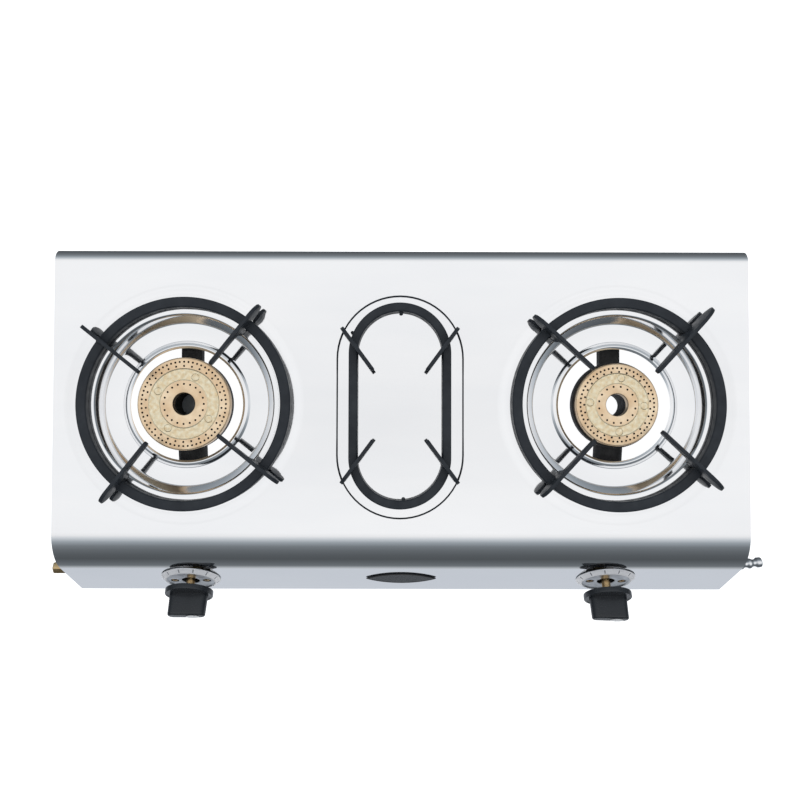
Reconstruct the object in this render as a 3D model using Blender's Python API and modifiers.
"""Two-burner tabletop gas stove in polished stainless steel.

A folded steel body with a sloping front panel carries two brass-capped burners in round
drip trays, three enamelled pan supports (two round, one long in the middle), a gas pipe
with two brass taps behind the front panel, and two black knobs.  +Z is up, the knobs face
-Y and the hose nozzle leaves at +X.  All lengths are in metres.
"""

import math

import bmesh
import bpy
from mathutils import Matrix, Vector

MM = 0.001
GAP = 0.3 * MM

# Body: one folded sheet, closed by two end panels, on four rubber feet.
FOOT_HEIGHT = 9 * MM
TOP_Z = 91.5 * MM
SHEET = 0.8 * MM
BODY_WIDTH = 686 * MM
BACK_Y = 152 * MM
BACK_BEND = 13 * MM
FRONT_BEND_Y = -127.6 * MM
FRONT_BEND = 45 * MM
FRONT_SLOPE = math.radians(61)
FLANGE = 18 * MM
END_FLANGE = 10 * MM
FOOT_X = 300 * MM
FOOT_NECK_RADIUS = 3.0 * MM

# Pressed seats in the top sheet, and the holes for the drip trays.
BURNER_X = {"left": -214.3 * MM, "right": 212.4 * MM}
BURNER_Y = -1.6 * MM
SEAT_DEPTH = 1.4 * MM
SEAT_RADIUS = 109 * MM
SEAT_RIM_RADIUS = 117 * MM
TRAY_HOLE_RADIUS = 90 * MM
CENTRE_SEAT_RADIUS = 62 * MM
CENTRE_SEAT_STRAIGHT = 95 * MM
CENTRE_SEAT_X = -1.5 * MM
CENTRE_SEAT_Y = -4.2 * MM
CENTRE_SEAT_DEPTH = 1.5 * MM

# Pan supports: a ring or a long loop with four upright blades welded over it.
RING_OUTER = 104.8 * MM
RING_INNER = 94.6 * MM
RING_TOP = 8.5 * MM
PAN_HEIGHT = 27 * MM
BLADE = 3.6 * MM
BLADE_OUTER = {"left": 121.8 * MM, "right": 123.5 * MM}
BLADE_INNER = {"left": 47.6 * MM, "right": 43.6 * MM}
BLADE_SHIFT = {"left": (0, 0), "right": (5.5 * MM, 2 * MM)}
RING_TURN = {"left": 6.5, "right": 2.3}
BLADE_LEAN = {"left": (0, 9, 0, -3), "right": (5, 0, 0, 0)}
RING_SHIFT = {"left": 1.0 * MM, "right": 0.4 * MM}
LOOP_X = -1.7 * MM
LOOP_Y = -3 * MM
LOOP_HALF_WIDTH = 50.2 * MM
LOOP_STRAIGHT = 101.8 * MM
LOOP_BAR = 8.8 * MM
LOOP_BLADE_X = 41.2 * MM
LOOP_BLADE_Y = 54.4 * MM
LOOP_BLADE_TURN = 53.6
LOOP_BLADE_HALF = 26 * MM

# Burners.
CAP_RADIUS = {"left": 45.9 * MM, "right": 40.9 * MM}
CAP_HOLE = 10.9 * MM
CAP_BASE = -9.0 * MM
CUP_RADIUS = {"left": 45.6 * MM, "right": 42.8 * MM}
MOUTH = Vector((0, -138 * MM, -58 * MM))
THROAT = Vector((0, -112 * MM, -53.5 * MM))
TUBE_END = Vector((0, -26 * MM, -34 * MM))
LUG_END = 76 * MM
LUG_WIDTH = 21 * MM
LUG_BOTTOM = -42 * MM
LUG_TOP = -28 * MM

# Taps: each stands on a tilted axis that passes through the front panel.
TAP_X = {"left": -216.9 * MM, "right": 211.5 * MM}
TAP_Y = -183.5 * MM
TAP_Z = TOP_Z - 44 * MM
TAP_TILT = FRONT_SLOPE
BARREL_RADIUS = 9.5 * MM
BARREL_END = -34 * MM
PIPE_Y = -174 * MM
PIPE_Z = TOP_Z - 68 * MM
PIPE_RADIUS = 6.5 * MM
PIPE_HALF = 325 * MM
JET_SLOPE = math.radians(10.6)
BEZEL_RADIUS = 30 * MM
BEZEL_SCREW_X = 16.5 * MM
SPINDLE_RADIUS = 4.3 * MM
KNOB_BASE = 9.6 * MM
KNOB_SKIRT = 5.5 * MM
KNOB_FRONT = 36.3 * MM
SKIRT_RADIUS = 24.1 * MM
GRIP_WIDTH = 39.3 * MM
GRIP_THICKNESS = 14 * MM
KNOB_TURN = {"left": 0, "right": -6}
KNOB_STAND = {"left": 0, "right": 2.6 * MM}

SIDES = {"left": -1, "right": 1}
ALONG_X = (math.pi / 2, 0, math.pi / 2)

STEEL = ("polished_steel", (0.80, 0.81, 0.83), 0.12, 1.0)
ENAMEL = ("black_enamel", (0.045, 0.050, 0.056), 0.35, 0.0)
BRASS = ("brass", (0.80, 0.62, 0.34), 0.35, 1.0)
IRON = ("cast_iron", (0.03, 0.03, 0.032), 0.65, 0.3)
PLASTIC = ("black_plastic", (0.035, 0.038, 0.042), 0.40, 0.0)
CHROME = ("chrome", (0.85, 0.86, 0.88), 0.10, 1.0)
ZINC = ("zinc_steel", (0.62, 0.63, 0.64), 0.35, 1.0)
RUBBER = ("black_rubber", (0.03, 0.03, 0.03), 0.80, 0.0)
BADGE = ("badge_black", (0.03, 0.025, 0.025), 0.25, 0.0)
LABEL = ("emblem_white", (0.85, 0.85, 0.86), 0.30, 0.0)


def clear_scene():
    for obj in list(bpy.data.objects):
        bpy.data.objects.remove(obj, do_unlink=True)


def collection(name):
    made = bpy.data.collections.new(name)
    bpy.context.scene.collection.children.link(made)
    return made


clear_scene()
PARTS = collection("gas_stove")
CUTTERS = collection("cutters")


def material(finish):
    name, colour, roughness, metallic = finish
    made = bpy.data.materials.get(name)
    if made is None:
        made = bpy.data.materials.new(name)
        made.use_nodes = True
        shader = made.node_tree.nodes["Principled BSDF"]
        shader.inputs["Base Color"].default_value = (*colour, 1)
        shader.inputs["Roughness"].default_value = roughness
        shader.inputs["Metallic"].default_value = metallic
        made.diffuse_color = (*colour, 1)
    return made


def empty(name, parent=None, location=(0, 0, 0), rotation=(0, 0, 0)):
    made = bpy.data.objects.new(name, None)
    made.location = location
    made.rotation_euler = rotation
    made.parent = parent
    PARTS.objects.link(made)
    return made


def piece(name, mesh, parent, location=(0, 0, 0), rotation=(0, 0, 0), finish=None):
    """An object from a mesh: a part with its finish, or a hidden cutter without one."""
    made = bpy.data.objects.new(name, mesh)
    made.location = location
    made.rotation_euler = rotation
    made.parent = parent
    if finish:
        mesh.materials.append(material(finish))
        PARTS.objects.link(made)
    else:
        made.hide_render = True
        made.display_type = "WIRE"
        CUTTERS.objects.link(made)
    return made


def mesh_from(build, name):
    bm = bmesh.new()
    build(bm)
    mesh = bpy.data.meshes.new(name)
    bm.to_mesh(mesh)
    bm.free()
    return mesh


def box(name, low, high, parent, **place):
    """A block between two corners of its parent's frame."""
    low, high = Vector(low), Vector(high)
    shape = Matrix.Translation((low + high) / 2) @ Matrix.Diagonal((*(high - low), 1))
    mesh = mesh_from(lambda bm: bmesh.ops.create_cube(bm, size=1, matrix=shape), name)
    return piece(name, mesh, parent, **place)


def rod(name, radius, low, high, parent, end_radius=None, segments=20, **place):
    """A cylinder or cone along local Z, from height low to height high."""
    centre = Matrix.Translation((0, 0, (low + high) / 2))

    def build(bm):
        bmesh.ops.create_cone(
            bm,
            cap_ends=True,
            segments=segments,
            radius1=radius,
            radius2=radius if end_radius is None else end_radius,
            depth=high - low,
            matrix=centre,
        )

    return piece(name, mesh_from(build, name), parent, **place)


def turned(name, profile, parent, closed=True, steps=36, **place):
    """A profile of (radius, height) points turned about local Z."""
    points = [(radius, 0, height) for radius, height in profile]
    edges = [(i, i + 1) for i in range(len(points) - 1)]
    if closed:
        edges.append((len(points) - 1, 0))
    mesh = bpy.data.meshes.new(name)
    mesh.from_pydata(points, edges, [])
    made = piece(name, mesh, parent, **place)
    screw = made.modifiers.new("turn", "SCREW")
    screw.axis = "Z"
    screw.steps = steps
    screw.render_steps = steps
    screw.use_merge_vertices = True
    screw.merge_threshold = 0.00001
    screw.use_smooth_shade = True
    return made


def curve_mesh(curve, name):
    """The mesh of a curve, with its caps welded to its sides."""
    guide = bpy.data.objects.new(name + "_curve", curve)
    CUTTERS.objects.link(guide)
    bpy.context.view_layer.update()
    evaluated = guide.evaluated_get(bpy.context.evaluated_depsgraph_get())
    mesh = bpy.data.meshes.new_from_object(evaluated)
    mesh.name = name
    bpy.data.objects.remove(guide, do_unlink=True)
    bm = bmesh.new()
    bm.from_mesh(mesh)
    bmesh.ops.remove_doubles(bm, verts=bm.verts, dist=0.000001)
    bm.to_mesh(mesh)
    bm.free()
    return mesh


def plate(name, outlines, low, high, parent, **place):
    """Flat outlines in the local XY plane, made solid from height low to height high."""
    curve = bpy.data.curves.new(name, "CURVE")
    curve.dimensions = "2D"
    curve.fill_mode = "BOTH"
    curve.extrude = (high - low) / 2
    for outline in outlines:
        spline = curve.splines.new("POLY")
        spline.points.add(len(outline) - 1)
        for point, (x, y) in zip(spline.points, outline):
            point.co = (x, y, 0, 1)
        spline.use_cyclic_u = True
    mesh = curve_mesh(curve, name)
    mesh.transform(Matrix.Translation((0, 0, (low + high) / 2)))
    return piece(name, mesh, parent, **place)


def tube(name, route, parent, **place):
    """A solid round bar through (point, radius) pairs."""
    curve = bpy.data.curves.new(name, "CURVE")
    curve.dimensions = "3D"
    curve.bevel_depth = 1.0
    curve.bevel_resolution = 4
    curve.use_fill_caps = True
    spline = curve.splines.new("POLY")
    spline.points.add(len(route) - 1)
    for point, (place_at, radius) in zip(spline.points, route):
        point.co = (*place_at, 1)
        point.radius = radius
    return piece(name, curve_mesh(curve, name), parent, **place)


def boolean(target, other, operation):
    modifier = target.modifiers.new(operation.lower(), "BOOLEAN")
    modifier.operation = operation
    modifier.object = other
    return target


def cut(target, *cutters):
    for cutter in cutters:
        boolean(target, cutter, "DIFFERENCE")
    return target


def join(target, *others):
    for other in others:
        boolean(target, other, "UNION")
    return target


def round_edges(target, width, segments=2, angle=50):
    modifier = target.modifiers.new("round", "BEVEL")
    modifier.width = width
    modifier.segments = segments
    modifier.limit_method = "ANGLE"
    modifier.angle_limit = math.radians(angle)
    return target


def arc(centre, radius, start, end, count, squash=1.0):
    """Points from start to end degrees on a circle, or on an ellipse squashed in y."""
    angles = [math.radians(start + (end - start) * i / count) for i in range(count + 1)]
    return [
        (centre[0] + radius * math.cos(a), centre[1] + radius * squash * math.sin(a))
        for a in angles
    ]


def stadium(half_width, straight, count=12):
    """A long loop: two half circles of radius half_width, a straight length apart."""
    top = arc((0, straight / 2), half_width, 0, 180, count)
    bottom = arc((0, -straight / 2), half_width, 180, 360, count)
    return top + bottom


# ---------------------------------------------------------------- body


def body_outline(inset, bottom):
    """The folded sheet's section as (y, z), moved inwards by inset, cut off at bottom."""
    back_centre = (BACK_Y - BACK_BEND, TOP_Z - BACK_BEND)
    front_centre = (FRONT_BEND_Y, TOP_Z - FRONT_BEND)
    slope = math.degrees(FRONT_SLOPE)
    back = arc(back_centre, BACK_BEND - inset, 0, 90, 5)
    front = arc(front_centre, FRONT_BEND - inset, 90, 90 + slope, 9)
    end_y, end_z = front[-1]
    foot_y = end_y - (end_z - bottom) / math.tan(FRONT_SLOPE)
    return [(BACK_Y - inset, bottom)] + back + front + [(foot_y, bottom)]


def prism(name, inset, bottom, low, high, parent, **place):
    """The body section as a solid between two x positions."""
    outline = [body_outline(inset, bottom)]
    return plate(name, outline, low, high, parent, rotation=ALONG_X, **place)


def foot_places():
    front = body_outline(0, FOOT_HEIGHT)[-1][0] + FLANGE / 2 + SHEET
    back = BACK_Y - SHEET - FLANGE / 2
    return [
        (side + "_" + row, SIDES[side] * FOOT_X, y)
        for side in SIDES
        for row, y in (("front", front), ("back", back))
    ]


def seat_cutters(root, offset, tag):
    """The hollows pressed into the top, moved down by offset."""
    made = []
    rise = 1 * MM
    spread = (SEAT_RIM_RADIUS - SEAT_RADIUS) / SEAT_DEPTH
    for side, sign in SIDES.items():
        made.append(
            rod(
                f"seat_{tag}_{side}",
                SEAT_RADIUS + offset,
                TOP_Z - SEAT_DEPTH - offset,
                TOP_Z + rise,
                root,
                end_radius=SEAT_RIM_RADIUS + offset + rise * spread,
                segments=48,
                location=(BURNER_X[side], BURNER_Y, 0),
            )
        )
    loop = [stadium(CENTRE_SEAT_RADIUS + offset, CENTRE_SEAT_STRAIGHT)]
    low = TOP_Z - CENTRE_SEAT_DEPTH - offset
    centre = {"location": (CENTRE_SEAT_X, CENTRE_SEAT_Y, 0)}
    made.append(plate(f"seat_{tag}_centre", loop, low, TOP_Z + rise, root, **centre))
    return made


def tap_opening(side, sign, root):
    """The hole in the front panel for a tap: round, with a square corner towards the middle."""
    radius = 29 * MM
    rise = 3 * MM
    reach = 14 * MM
    hole = rod(
        f"tap_hole_{side}",
        radius,
        -reach,
        reach,
        tap_frames[side],
        segments=32,
        location=(0, rise, 0),
    )
    near, far = sorted((0, -sign * 24.5 * MM))
    notch = box(
        f"tap_notch_{side}",
        (near, 10 * MM, -reach),
        (far, radius + rise, reach),
        tap_frames[side],
    )
    return [hole, notch]


def make_body(root):
    half = BODY_WIDTH / 2
    body = prism("body_shell", 0, FOOT_HEIGHT, -half, half, root, finish=STEEL)
    cut(body, *seat_cutters(root, 0, "outer"))
    past_ends = half + 5 * MM
    cavity = prism("cavity", SHEET, FOOT_HEIGHT + SHEET, -past_ends, past_ends, root)
    cut(cavity, *seat_cutters(root, SHEET, "inner"))
    cut(body, cavity)
    front = body_outline(0, FOOT_HEIGHT)[-1][0] + FLANGE + SHEET
    opening = box(
        "bottom_opening",
        (-past_ends, front, 0),
        (past_ends, BACK_Y - SHEET - FLANGE, FOOT_HEIGHT + 3 * SHEET),
        root,
    )
    cut(body, opening)
    for side, sign in SIDES.items():
        hole = rod(
            f"tray_hole_{side}",
            TRAY_HOLE_RADIUS,
            TOP_Z - 20 * MM,
            TOP_Z + 5 * MM,
            root,
            segments=48,
            location=(BURNER_X[side], BURNER_Y, 0),
        )
        cut(body, hole, *tap_opening(side, sign, root))
    for name, x, y in foot_places():
        radius = FOOT_NECK_RADIUS + GAP
        hole = rod(f"foot_hole_{name}", radius, 0, 20 * MM, root, segments=16)
        hole.location = (x, y, 0)
        cut(body, hole)


def make_end_panel(side, sign, root):
    """A flat end plate with a flange folded inwards all round."""
    outer = sign * (BODY_WIDTH / 2 - GAP)
    inner = outer - sign * END_FLANGE
    face = outer - sign * SHEET
    past = inner - sign * MM
    margin = SHEET + GAP
    bottom = FOOT_HEIGHT + margin
    low, high = sorted((inner, outer))
    name = f"side_panel_{side}"
    panel = prism(name, margin, bottom, low, high, root, finish=STEEL)
    low, high = sorted((past, face))
    cut(panel, prism(f"end_pocket_{side}", margin + SHEET, bottom + SHEET, low, high, root))
    hole = rod(f"end_hole_{side}", 11 * MM, -10 * MM, 10 * MM, root, segments=20)
    hole.location = (outer, PIPE_Y + 2 * MM, PIPE_Z)
    hole.rotation_euler = (0, math.pi / 2, 0)
    cut(panel, hole)


def make_foot(name, x, y, root):
    """A rubber foot pushed through the bottom flange, with a head above it."""
    neck_top = FOOT_HEIGHT + SHEET + GAP
    profile = [
        (0, neck_top + 4 * MM),
        (3 * MM, neck_top + 4 * MM),
        (5 * MM, neck_top),
        (FOOT_NECK_RADIUS, neck_top),
        (FOOT_NECK_RADIUS, FOOT_HEIGHT - GAP),
        (9 * MM, FOOT_HEIGHT - GAP),
        (8.2 * MM, 1 * MM),
        (7.2 * MM, 0),
        (0, 0),
    ]
    place = {"location": (x, y, 0), "finish": RUBBER}
    turned(f"foot_{name}", profile, root, closed=False, steps=16, **place)


def make_badge(root):
    """A blank pointed-oval plate on the front panel."""
    width, height = 72 * MM, 27 * MM
    rise = height / 2
    radius = ((width / 2) ** 2 + rise**2) / (2 * rise)
    reach = math.degrees(math.asin(width / 2 / radius))
    upper = arc((0, rise - radius), radius, 90 - reach, 90 + reach, 12)
    lower = arc((0, radius - rise), radius, 270 - reach, 270 + reach, 12)
    front = body_outline(0, FOOT_HEIGHT)
    centre_z = TOP_Z - 46.5 * MM
    centre_y = front[-2][0] - (front[-2][1] - centre_z) / math.tan(FRONT_SLOPE)
    plate(
        "front_badge",
        [upper[:-1] + lower[:-1]],
        GAP,
        GAP + 1.2 * MM,
        root,
        location=(0, centre_y, centre_z),
        rotation=(FRONT_SLOPE, 0, 0),
        finish=BADGE,
    )


# ---------------------------------------------------------------- pan supports


def blade_outline(inner_tip, bar_inner, bar_outer, outer_tip, foot_depth):
    """A pan support blade as (distance along it, height above the top sheet).

    The outer end is a rounded paddle, a notch sits over the bar, a short foot hangs
    inside the bar and a slim finger reaches to the inner tip.
    """
    lobe = (PAN_HEIGHT - 5 * MM) / 2
    lobe_centre = (bar_outer + 1.6 * MM, 5 * MM + lobe)
    lobe_reach = outer_tip - lobe_centre[0]
    outer = arc(lobe_centre, lobe_reach, 90, -90, 9, squash=lobe / lobe_reach)
    notch = RING_TOP + 2 * GAP
    tip = 4.2 * MM
    foot = bar_inner - 2 * GAP
    below = [
        (bar_outer + 2 * GAP, 5 * MM),
        (bar_outer + 2 * GAP, notch),
        (foot, notch),
        (foot, foot_depth + MM),
        (foot - MM, foot_depth),
        (foot - 5.5 * MM, foot_depth),
        (foot - 7 * MM, foot_depth + 1.5 * MM),
        (foot - 9 * MM, PAN_HEIGHT - 12 * MM),
    ]
    inner = arc((inner_tip + tip, PAN_HEIGHT - tip), tip, 250, 90, 6)
    return outer + below + inner


def make_round_support(side, root):
    centre = (BURNER_X[side] + RING_SHIFT[side], BURNER_Y, TOP_Z)
    frame = empty(f"pan_support_{side}", root, centre)
    low = GAP - SEAT_DEPTH
    edge = 1.5 * MM
    profile = [
        (RING_OUTER - edge, RING_TOP),
        (RING_OUTER, RING_TOP - edge),
        (RING_OUTER, low),
        (RING_INNER, low),
        (RING_INNER, RING_TOP - edge),
        (RING_INNER + edge, RING_TOP),
    ]
    turned(f"pan_ring_{side}", profile, frame, steps=48, finish=ENAMEL)
    aside, back = BLADE_SHIFT[side]
    for number in range(4):
        turn = math.radians(45 + RING_TURN[side] + 90 * number)
        along = aside * math.cos(turn) + back * math.sin(turn)
        across = back * math.cos(turn) - aside * math.sin(turn)
        outline = blade_outline(
            BLADE_INNER[side] - along,
            math.sqrt(RING_INNER**2 - across**2) - along,
            math.sqrt(RING_OUTER**2 - across**2) - along,
            BLADE_OUTER[side],
            0,
        )
        lean = math.radians(BLADE_LEAN[side][number])
        shift = PAN_HEIGHT * math.sin(lean)
        plate(
            f"pan_blade_{side}_{number + 1}",
            [outline],
            -BLADE / 2,
            BLADE / 2,
            frame,
            location=(aside - shift * math.sin(turn), back + shift * math.cos(turn), 0),
            rotation=(math.pi / 2 + lean, 0, turn),
            finish=ENAMEL,
        )


def make_centre_support(root):
    frame = empty("pan_support_centre", root, (LOOP_X, LOOP_Y, TOP_Z))
    loops = [
        stadium(LOOP_HALF_WIDTH, LOOP_STRAIGHT),
        stadium(LOOP_HALF_WIDTH - LOOP_BAR, LOOP_STRAIGHT),
    ]
    low = GAP - CENTRE_SEAT_DEPTH
    ring = plate("pan_ring_centre", loops, low, RING_TOP, frame, finish=ENAMEL)
    round_edges(ring, 1.5 * MM, 1)
    outline = [
        (x - LOOP_BLADE_HALF, z)
        for x, z in blade_outline(0, 23.5 * MM, 41.5 * MM, 2 * LOOP_BLADE_HALF, 1.5 * MM)
    ]
    number = 0
    for sx in (-1, 1):
        for sy in (-1, 1):
            number += 1
            turn = math.atan2(
                sy * math.sin(math.radians(LOOP_BLADE_TURN)),
                sx * math.cos(math.radians(LOOP_BLADE_TURN)),
            )
            plate(
                f"pan_blade_centre_{number}",
                [outline],
                -BLADE / 2,
                BLADE / 2,
                frame,
                location=(sx * LOOP_BLADE_X, sy * LOOP_BLADE_Y, 0),
                rotation=(math.pi / 2, 0, turn),
                finish=ENAMEL,
            )


# ---------------------------------------------------------------- burners


def make_drip_tray(side, frame):
    """A dished ring: a rim on the seat, a sloping wall, a flat floor and a raised lip."""
    thickness = 0.7 * MM
    rim = GAP - SEAT_DEPTH + thickness
    profile = [
        (56 * MM, -12.3 * MM),
        (58.5 * MM, -10.8 * MM),
        (61 * MM, -11.8 * MM),
        (63.5 * MM, -13.5 * MM),
        (81.5 * MM, -13.5 * MM),
        (87.5 * MM, rim - 2 * MM),
        (89.2 * MM, rim),
        (93.4 * MM, rim),
    ]
    tray = turned(f"drip_tray_{side}", profile, frame, closed=False, steps=48, finish=STEEL)
    shell = tray.modifiers.new("sheet", "SOLIDIFY")
    shell.thickness = thickness
    shell.offset = -1


def make_burner_cap(side, frame):
    """The brass flame spreader: a shallow inverted dish with a hole in the middle."""
    radius = CAP_RADIUS[side]
    outer_step = 0.74 * radius
    inner_step = 0.50 * radius
    profile = [
        (radius, -1.4 * MM),
        (radius, CAP_BASE),
        (radius - 3 * MM, CAP_BASE),
        (radius - 4 * MM, CAP_BASE + 4 * MM),
        (15 * MM, CAP_BASE + 4 * MM),
        (14 * MM, CAP_BASE),
        (CAP_HOLE, CAP_BASE),
        (CAP_HOLE, 0),
        (inner_step, 0),
        (inner_step + MM, -0.5 * MM),
        (outer_step, -0.5 * MM),
        (outer_step + MM, 0.2 * MM),
        (radius - 1.5 * MM, 0.2 * MM),
    ]
    turned(f"burner_cap_{side}", profile, frame, finish=BRASS)


def cup_profile(side):
    """The burner casting's cup, open at the top, with a central tube.

    The large left burner's tube is blind; the small right one's goes right through.
    """
    top = CAP_BASE - GAP
    rim = CUP_RADIUS[side]
    wall = [
        (CAP_HOLE + 0.3 * MM, top),
        (14.8 * MM, top),
        (14.8 * MM, -26 * MM),
        (32 * MM, -25 * MM),
        (rim - 4 * MM, -18 * MM),
        (rim - 4 * MM, top),
        (rim, top),
        (rim, -20 * MM),
        (37 * MM, -29 * MM),
        (22 * MM, -37 * MM),
        (17 * MM, -41 * MM),
    ]
    if side == "left":
        return [(0, -36 * MM), (CAP_HOLE + 0.3 * MM, -36 * MM)] + wall + [(0, -41 * MM)], False
    return wall + [(CAP_HOLE + 0.3 * MM, -41 * MM)], True


def make_burner_body(side, frame):
    """The cast cup with its mixing tube in front and its fixing lug behind."""
    profile, closed = cup_profile(side)
    body = turned(f"burner_body_{side}", profile, frame, closed=closed, finish=IRON)
    lip = MOUTH + (MOUTH - THROAT).normalized() * 3 * MM
    tube_route = [
        (MOUTH, 15 * MM),
        (MOUTH.lerp(THROAT, 0.5), 13 * MM),
        (THROAT, 12 * MM),
        (THROAT.lerp(TUBE_END, 0.6), 14.6 * MM),
        (TUBE_END, 14.6 * MM),
    ]
    casting = tube(f"mixing_tube_{side}", tube_route, frame)
    lug = box(
        f"lug_{side}",
        (-LUG_WIDTH / 2, 25 * MM, LUG_BOTTOM),
        (LUG_WIDTH / 2, LUG_END, LUG_TOP),
        frame,
    )
    join(body, casting, lug)
    passage_route = [
        (lip, 13.2 * MM),
        (MOUTH.lerp(THROAT, 0.5), 10.5 * MM),
        (THROAT, 9.5 * MM),
        (TUBE_END + Vector((0, -7 * MM, 0)), 9.5 * MM),
        (TUBE_END + Vector((0, 1 * MM, 9 * MM)), 7 * MM),
    ]
    passage = tube(f"mixing_passage_{side}", passage_route, frame)
    core = rod(f"core_{side}", 14.8 * MM, -60 * MM, 0, frame)
    cut(passage, core)
    cut(body, passage)
    if side == "right":
        bore = rod(f"centre_bore_{side}", CAP_HOLE + 0.3 * MM, -60 * MM, 0, frame)
        cut(body, bore)
    screw_hole = rod(f"lug_hole_{side}", 3 * MM, -60 * MM, 0, frame, segments=16)
    screw_hole.location = (0, LUG_END - 9 * MM, 0)
    cut(body, screw_hole)


def make_burner_bracket(side, frame):
    """A strip hung from the back edge of the tray hole, carrying the lug on its foot."""
    width = 24 * MM
    strip = 1.5 * MM
    top = -SEAT_DEPTH - SHEET - GAP
    foot = LUG_BOTTOM - GAP
    near, far = LUG_END - 18 * MM, LUG_END + 15.5 * MM
    end = far + 14 * MM
    outline = [
        (near, foot),
        (near, foot - strip),
        (far, foot - strip),
        (far, top - strip),
        (end, top - strip),
        (end, top),
        (far - strip, top),
        (far - strip, foot),
    ]
    bracket = plate(
        f"burner_bracket_{side}",
        [outline],
        -width / 2,
        width / 2,
        frame,
        rotation=ALONG_X,
        finish=ZINC,
    )
    screw_y = LUG_END - 9 * MM
    hole = rod(f"bracket_hole_{side}", 3 * MM, -60 * MM, -20 * MM, frame, segments=16)
    hole.location = (0, screw_y, 0)
    cut(bracket, hole)
    shank, head = 2.6 * MM, 5 * MM
    bottom = foot - strip - 4 * MM
    head_low = LUG_TOP + GAP
    profile = [
        (0, head_low + 3 * MM),
        (head - MM, head_low + 3 * MM),
        (head, head_low + 2 * MM),
        (head, head_low),
        (shank, head_low),
        (shank, bottom),
        (0, bottom),
    ]
    turned(
        f"burner_screw_{side}",
        profile,
        frame,
        closed=False,
        steps=12,
        location=(0, screw_y, 0),
        finish=ZINC,
    )


# ---------------------------------------------------------------- gas pipe and taps


def make_gas_pipe(root):
    """The pipe under the taps, with a plug at its left end and the hose nozzle at +X."""
    along = {"rotation": (0, math.pi / 2, 0), "location": (0, PIPE_Y, PIPE_Z)}
    pipe = rod("gas_pipe", PIPE_RADIUS, -PIPE_HALF, PIPE_HALF, root, finish=ZINC, **along)
    past = PIPE_HALF + 5 * MM
    cut(pipe, rod("pipe_bore", 4.8 * MM, -past, past, root, segments=20, **along))
    start = PIPE_HALF + GAP
    plug_end = 368 * MM
    plug = [
        (0, plug_end),
        (5.5 * MM, plug_end),
        (6.5 * MM, plug_end - MM),
        (6.5 * MM, start),
        (4.5 * MM, start),
        (4.5 * MM, start - 12 * MM),
        (0, start - 12 * MM),
    ]
    turned(
        "pipe_plug",
        plug,
        root,
        closed=False,
        steps=6,
        location=(0, PIPE_Y, PIPE_Z),
        rotation=(0, -math.pi / 2, 0),
        finish=BRASS,
    )
    make_nozzle(start, root)


def make_nozzle(start, root):
    """The hose nozzle: a spigot in the pipe, a collar, and a barbed tip turned back."""
    spigot = rod("nozzle_spigot", 4.5 * MM, -12 * MM, 6 * MM, root, segments=20)
    spigot.location = (start, PIPE_Y, PIPE_Z)
    spigot.rotation_euler = (0, math.pi / 2, 0)
    barb, waist, bore = 5.4 * MM, 3.9 * MM, 2.2 * MM
    end = 58 * MM
    outline = [
        (0, 10 * MM),
        (bore, 10 * MM),
        (bore, end),
        (barb - 1.2 * MM, end),
        (barb, end - 4 * MM),
        (waist, end - 7 * MM),
        (waist, end - 9 * MM),
        (barb, end - 12 * MM),
        (barb, end - 14 * MM),
        (waist, end - 16 * MM),
        (waist, end - 18 * MM),
        (barb, end - 21 * MM),
        (barb, end - 30 * MM),
        (6.5 * MM, end - 31 * MM),
        (6.5 * MM, 1.8 * MM),
        (0, 1.8 * MM),
    ]
    turn_back = math.radians(7)
    nozzle = turned(
        "hose_nozzle",
        outline,
        root,
        closed=False,
        steps=18,
        location=(start, PIPE_Y, PIPE_Z),
        rotation=(0, math.pi / 2, turn_back),
        finish=CHROME,
    )
    join(nozzle, spigot)


def make_clamp(name, x, root):
    """A saddle strip that holds the pipe up to the front bend of the body."""
    bar = plate(
        name,
        [arc((0, 0), PIPE_RADIUS + GAP + 1.5 * MM, 0, 360, 20)[:-1]],
        -6 * MM,
        6 * MM,
        root,
        location=(x, PIPE_Y, PIPE_Z),
        rotation=ALONG_X,
        finish=ZINC,
    )
    top = TOP_Z - SHEET - GAP - PIPE_Z
    strip = 1.5 * MM
    near = FRONT_BEND_Y + 2 * MM - PIPE_Y
    half = 6 * MM
    place = {"location": (x, PIPE_Y, PIPE_Z)}
    arm = box(f"{name}_arm", (-half, half, 3.9 * MM), (half, near + strip, 5.4 * MM), root, **place)
    strap = box(f"{name}_strap", (-half, near, 4 * MM), (half, near + strip, top), root, **place)
    tab = box(f"{name}_tab", (-half, near, top - strip), (half, near + 22 * MM, top), root, **place)
    bore = rod(
        f"{name}_bore",
        PIPE_RADIUS + GAP,
        -10 * MM,
        10 * MM,
        root,
        location=(x, PIPE_Y, PIPE_Z),
        rotation=(0, math.pi / 2, 0),
    )
    join(bar, arm, strap, tab)
    cut(bar, bore)


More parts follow.
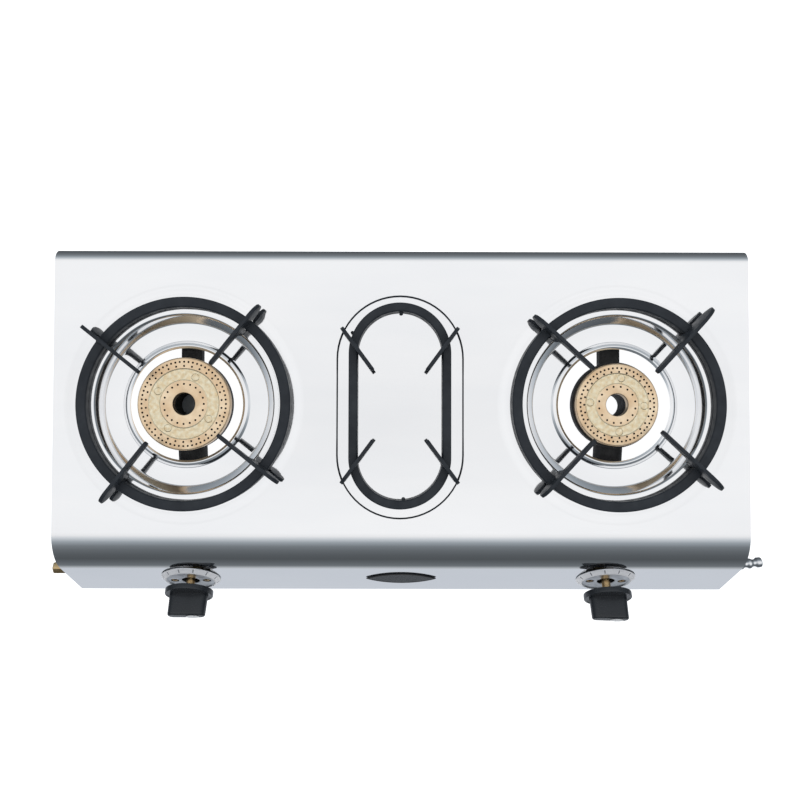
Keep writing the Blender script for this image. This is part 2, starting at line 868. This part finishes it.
def make_valve_body(side, frame, root):
    """The brass tap: flange, barrel, a saddle round the pipe and an outlet boss."""
    body = rod(f"valve_body_{side}", BARREL_RADIUS, BARREL_END, -3 * MM, frame, finish=BRASS)
    flange = plate(
        f"valve_flange_{side}",
        [stadium(7 * MM, 2 * BEZEL_SCREW_X, 8)],
        -5.5 * MM,
        -3 * MM,
        frame,
        rotation=(0, 0, math.pi / 2),
    )
    pipe_frame = {
        "location": (TAP_X[side], PIPE_Y, PIPE_Z),
        "rotation": (0, math.pi / 2, 0),
    }
    saddle = rod(f"valve_saddle_{side}", 10 * MM, -9 * MM, 9 * MM, root, **pipe_frame)
    boss = rod(f"valve_boss_{side}", 6 * MM, -6 * MM, 17 * MM, frame, segments=20)
    boss.location = (0, -17 * MM, -19 * MM)
    boss.rotation_euler = (-math.pi / 2, 0, 0)
    outlet = rod(f"valve_outlet_{side}", 5 * MM, -4 * MM, 11 * MM, jet_frames[side])
    join(body, flange, saddle, boss, outlet)
    pipe_bore = rod(
        f"saddle_bore_{side}", PIPE_RADIUS + GAP, -15 * MM, 15 * MM, root, **pipe_frame
    )
    taper = rod(
        f"taper_{side}", 5.0 * MM, -30 * MM, -12 * MM, frame, end_radius=6.4 * MM, segments=20
    )
    well = rod(f"well_{side}", 6.4 * MM, -12.1 * MM, 0, frame, segments=20)
    drill = rod(f"outlet_bore_{side}", 2.4 * MM, -9 * MM, 15 * MM, jet_frames[side], segments=16)
    cut(body, pipe_bore, taper, well, drill)
    for x in (-BEZEL_SCREW_X, BEZEL_SCREW_X):
        hole = rod(f"flange_hole_{side}_{x > 0}", 2 * MM, -8 * MM, 0, frame, segments=16)
        hole.location = (x, 0, 0)
        cut(body, hole)


def make_jet(side):
    """The brass jet in the tap's outlet, pointing into the mixing tube."""
    profile = [
        (0.6 * MM, 18 * MM),
        (2.2 * MM, 18 * MM),
        (3.6 * MM, 15.5 * MM),
        (5.0 * MM, 15.5 * MM),
        (5.0 * MM, 11.3 * MM),
        (2.1 * MM, 11.3 * MM),
        (2.1 * MM, 5 * MM),
        (0.6 * MM, 5 * MM),
    ]
    turned(f"jet_{side}", profile, jet_frames[side], steps=12, finish=BRASS)


def make_valve_plug(side, frame):
    """The tapered plug that turns in the tap, slotted to take the spindle."""
    plug = rod(
        f"valve_plug_{side}",
        4.7 * MM,
        -29.6 * MM,
        -14 * MM,
        frame,
        end_radius=5.9 * MM,
        finish=BRASS,
    )
    port = rod(f"plug_port_{side}", 1.6 * MM, -3 * MM, 10 * MM, frame, segments=12)
    port.location = (0, 0, -22 * MM)
    port.rotation_euler = (math.pi / 2, 0, 0)
    slot = box(
        f"plug_slot_{side}",
        (-9 * MM, -1.3 * MM, -18.5 * MM),
        (9 * MM, 1.3 * MM, -10 * MM),
        frame,
    )
    cut(plug, port, slot)


def make_valve_spring(side, frame):
    """The spring round the spindle, between the plug and the spindle's collar."""
    turns, per_turn = 3, 8
    low, high = -13.2 * MM, -9.9 * MM
    coil, wire = 5.3 * MM, 0.45 * MM
    count = turns * per_turn
    route = []
    for i in range(count + 1):
        angle = 2 * math.pi * i / per_turn
        height = low + (high - low) * i / count
        point = (coil * math.cos(angle), coil * math.sin(angle), height)
        route.append((point, wire))
    curve = bpy.data.curves.new(f"valve_spring_{side}", "CURVE")
    curve.dimensions = "3D"
    curve.bevel_depth = wire
    curve.bevel_resolution = 1
    curve.use_fill_caps = True
    spline = curve.splines.new("POLY")
    spline.points.add(len(route) - 1)
    for point, (at, _) in zip(spline.points, route):
        point.co = (*at, 1)
    mesh = curve_mesh(curve, curve.name)
    piece(f"valve_spring_{side}", mesh, frame, finish=ZINC)


def make_spindle(side, frame):
    """The brass spindle; its blade engages the plug's slot."""
    r = SPINDLE_RADIUS
    profile = [
        (0, 27 * MM),
        (r, 27 * MM),
        (r, -5 * MM),
        (5.8 * MM, -5 * MM),
        (5.8 * MM, -6.4 * MM),
        (r, -6.4 * MM),
        (r, -10.5 * MM),
        (0, -10.5 * MM),
    ]
    place = {"closed": False, "steps": 16, "finish": BRASS}
    spindle = turned(f"spindle_{side}", profile, frame, **place)
    blade = box(
        f"spindle_blade_{side}",
        (-3.2 * MM, -1 * MM, -15.2 * MM),
        (3.2 * MM, 1 * MM, -9 * MM),
        frame,
    )
    join(spindle, blade)


def make_bezel(side, frame):
    """A chromed dial plate with a sloping rim, screwed to the tap through the panel hole."""
    profile = [
        (BEZEL_RADIUS, -3.2 * MM),
        (BEZEL_RADIUS, -3.9 * MM),
        (24.6 * MM, -1.6 * MM),
        (9.1 * MM, -1.6 * MM),
        (9.1 * MM, -0.8 * MM),
        (23.8 * MM, -0.8 * MM),
        (24.3 * MM, 0.4 * MM),
        (25.2 * MM, 0.4 * MM),
    ]
    bezel = turned(f"bezel_{side}", profile, frame, finish=CHROME)
    for x in (-BEZEL_SCREW_X, BEZEL_SCREW_X):
        hole = rod(f"bezel_hole_{side}_{x > 0}", 4.3 * MM, -5 * MM, 5 * MM, frame, segments=12)
        hole.location = (x, 0, 0)
        cut(bezel, hole)


def make_bezel_screw(side, number, x, frame):
    """A brass round-headed screw into the tap's flange, seen through the dial plate."""
    profile = [
        (0, -0.6 * MM),
        (2.4 * MM, -1.1 * MM),
        (3.5 * MM, -2.6 * MM),
        (1.7 * MM, -2.6 * MM),
        (1.7 * MM, -8 * MM),
        (0, -8 * MM),
    ]
    turned(
        f"bezel_screw_{side}_{number}",
        profile,
        frame,
        closed=False,
        steps=14,
        location=(x, 0, 0),
        finish=BRASS,
    )


def make_knob(side, frame):
    """A round skirt with a bar grip, bored from behind for the spindle."""
    top = KNOB_BASE + KNOB_SKIRT
    profile = [
        (0, top),
        (SKIRT_RADIUS - 1.5 * MM, top),
        (SKIRT_RADIUS, top - 1.5 * MM),
        (SKIRT_RADIUS, KNOB_BASE),
        (SKIRT_RADIUS - 3 * MM, KNOB_BASE),
        (SKIRT_RADIUS - 3 * MM, KNOB_BASE + 3 * MM),
        (8 * MM, KNOB_BASE + 3 * MM),
        (8 * MM, KNOB_BASE),
        (0, KNOB_BASE),
    ]
    place = {"closed": False, "finish": PLASTIC}
    knob = turned(f"knob_{side}", profile, frame, **place)
    outline = stadium(GRIP_THICKNESS / 2, GRIP_WIDTH - GRIP_THICKNESS, 8)
    grip = plate(
        f"grip_{side}",
        [outline],
        top - MM,
        KNOB_FRONT,
        frame,
        rotation=(0, 0, math.pi / 2),
    )
    round_edges(grip, 2 * MM, 1)
    socket = rod(
        f"knob_socket_{side}", SPINDLE_RADIUS + GAP, KNOB_BASE - 5 * MM, 27.4 * MM, frame, segments=20
    )
    join(knob, grip)
    cut(knob, socket)
    emblem = [arc((0, 0), 6.8 * MM, 0, 360, 24, squash=0.55)[:-1]]
    plate(
        f"knob_emblem_{side}",
        emblem,
        KNOB_FRONT + GAP,
        KNOB_FRONT + GAP + 0.6 * MM,
        frame,
        location=(6.5 * MM, 0, 0),
        finish=LABEL,
    )


def centre_on_origin(root):
    """Put the middle of the whole object's box over the origin, standing on z = 0."""
    bpy.context.view_layer.update()
    graph = bpy.context.evaluated_depsgraph_get()
    points = []
    for obj in PARTS.objects:
        if obj.type == "MESH":
            shape = obj.evaluated_get(graph)
            mesh = shape.to_mesh()
            points += [obj.matrix_world @ vertex.co for vertex in mesh.vertices]
            shape.to_mesh_clear()
    for axis in (0, 1):
        low = min(point[axis] for point in points)
        high = max(point[axis] for point in points)
        root.location[axis] -= (low + high) / 2


stove = empty("stove")
tap_frames = {}
knob_frames = {}
jet_frames = {}
for side_name, side_sign in SIDES.items():
    tap_frames[side_name] = empty(
        f"tap_axis_{side_name}",
        stove,
        (TAP_X[side_name], TAP_Y, TAP_Z),
        (TAP_TILT, 0, 0),
    )
    knob_frames[side_name] = empty(
        f"knob_axis_{side_name}",
        tap_frames[side_name],
        rotation=(0, 0, math.radians(KNOB_TURN[side_name])),
    )
    jet_frames[side_name] = empty(
        f"jet_axis_{side_name}",
        stove,
        (TAP_X[side_name], TAP_Y + 24 * MM, TAP_Z - 17.5 * MM),
        (JET_SLOPE - math.pi / 2, 0, 0),
    )

make_body(stove)
make_badge(stove)
for foot_name, foot_x, foot_y in foot_places():
    make_foot(foot_name, foot_x, foot_y, stove)
make_gas_pipe(stove)
make_centre_support(stove)
for side_name, side_sign in SIDES.items():
    make_end_panel(side_name, side_sign, stove)
    make_clamp(f"pipe_clamp_{side_name}", side_sign * 120 * MM, stove)
    make_round_support(side_name, stove)
    burner = empty(
        f"burner_{side_name}", stove, (BURNER_X[side_name], BURNER_Y, TOP_Z)
    )
    make_drip_tray(side_name, burner)
    make_burner_cap(side_name, burner)
    make_burner_body(side_name, burner)
    make_burner_bracket(side_name, burner)
    tap = tap_frames[side_name]
    knob_axis = knob_frames[side_name]
    make_valve_body(side_name, tap, stove)
    make_jet(side_name)
    make_bezel(side_name, tap)
    make_bezel_screw(side_name, 1, -BEZEL_SCREW_X, tap)
    make_bezel_screw(side_name, 2, BEZEL_SCREW_X, tap)
    make_valve_plug(side_name, knob_axis)
    make_valve_spring(side_name, knob_axis)
    make_spindle(side_name, knob_axis)
    on_spindle = empty(f"knob_seat_{side_name}", knob_axis, (0, 0, KNOB_STAND[side_name]))
    make_knob(side_name, on_spindle)
centre_on_origin(stove)
